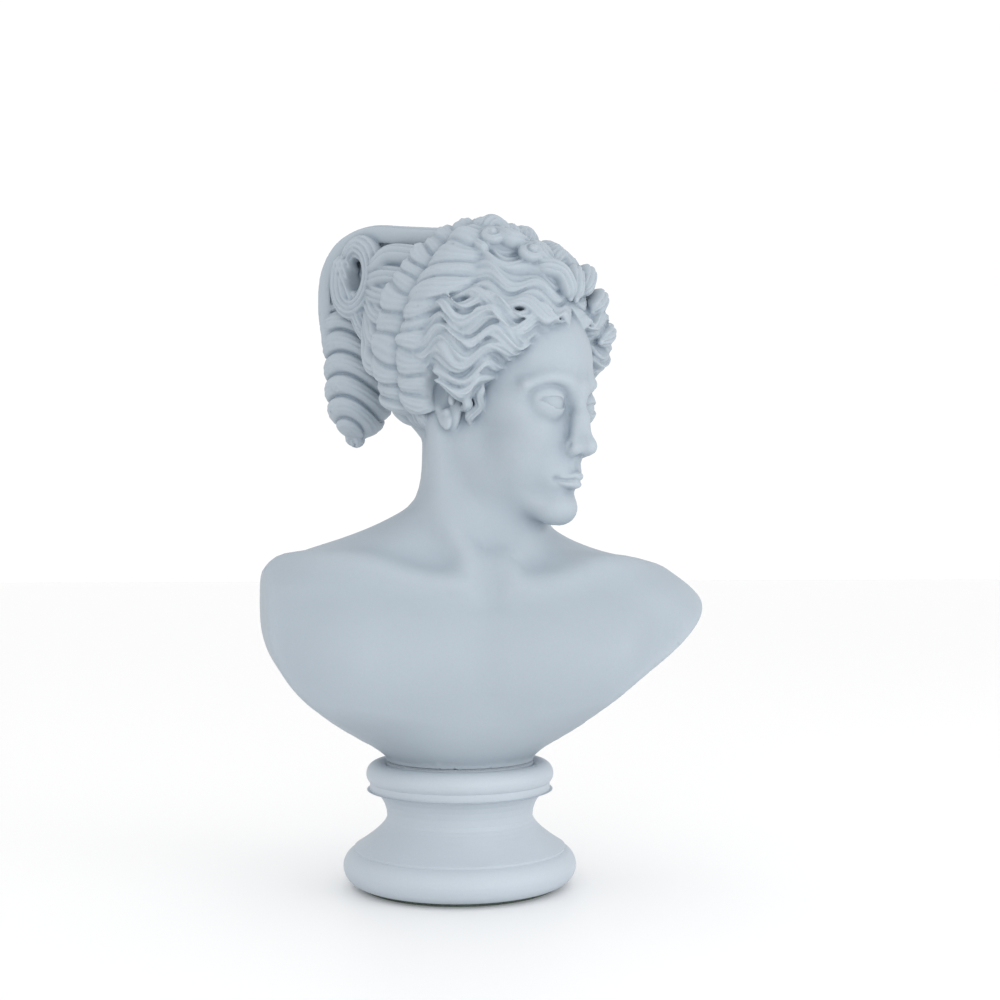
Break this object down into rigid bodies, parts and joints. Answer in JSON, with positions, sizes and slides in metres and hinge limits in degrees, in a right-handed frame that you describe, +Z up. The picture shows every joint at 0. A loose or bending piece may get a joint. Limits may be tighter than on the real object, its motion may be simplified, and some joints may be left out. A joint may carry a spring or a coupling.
{
  "type": "marble portrait bust on a turned socle",
  "caption": "Classical portrait bust of a young woman with a turned head and gathered wavy hair, bolted to a round turned stone socle.",
  "frame": {"origin": "on the socle's axis, on the underside of the felt pad that the bust stands on", "axes": "+Z up; -Y is the front of the chest; +X is the figure's left, the side that the head turns to"},
  "size_m": [0.267, 0.164, 0.4023],
  "materials": {
    "bust_marble": "fine honed, matte",
    "socle_marble": "turned and honed, matte",
    "setting_mortar": "rough",
    "zinc_plated_steel": "zinc plated",
    "spring_steel": "dark spring steel",
    "anchor_resin": "set resin",
    "felt": "pressed wool felt"
  },
  "bodies": {
    "root": {"bust": "bust_marble", "socle": "socle_marble", "bedding_ring": "setting_mortar", "tie_rod": "zinc_plated_steel", "anchor_resin": "anchor_resin", "load_washer": "zinc_plated_steel", "lock_washer": "spring_steel", "hex_nut": "zinc_plated_steel", "felt_pad": "felt"}
  },
  "joints": []
}
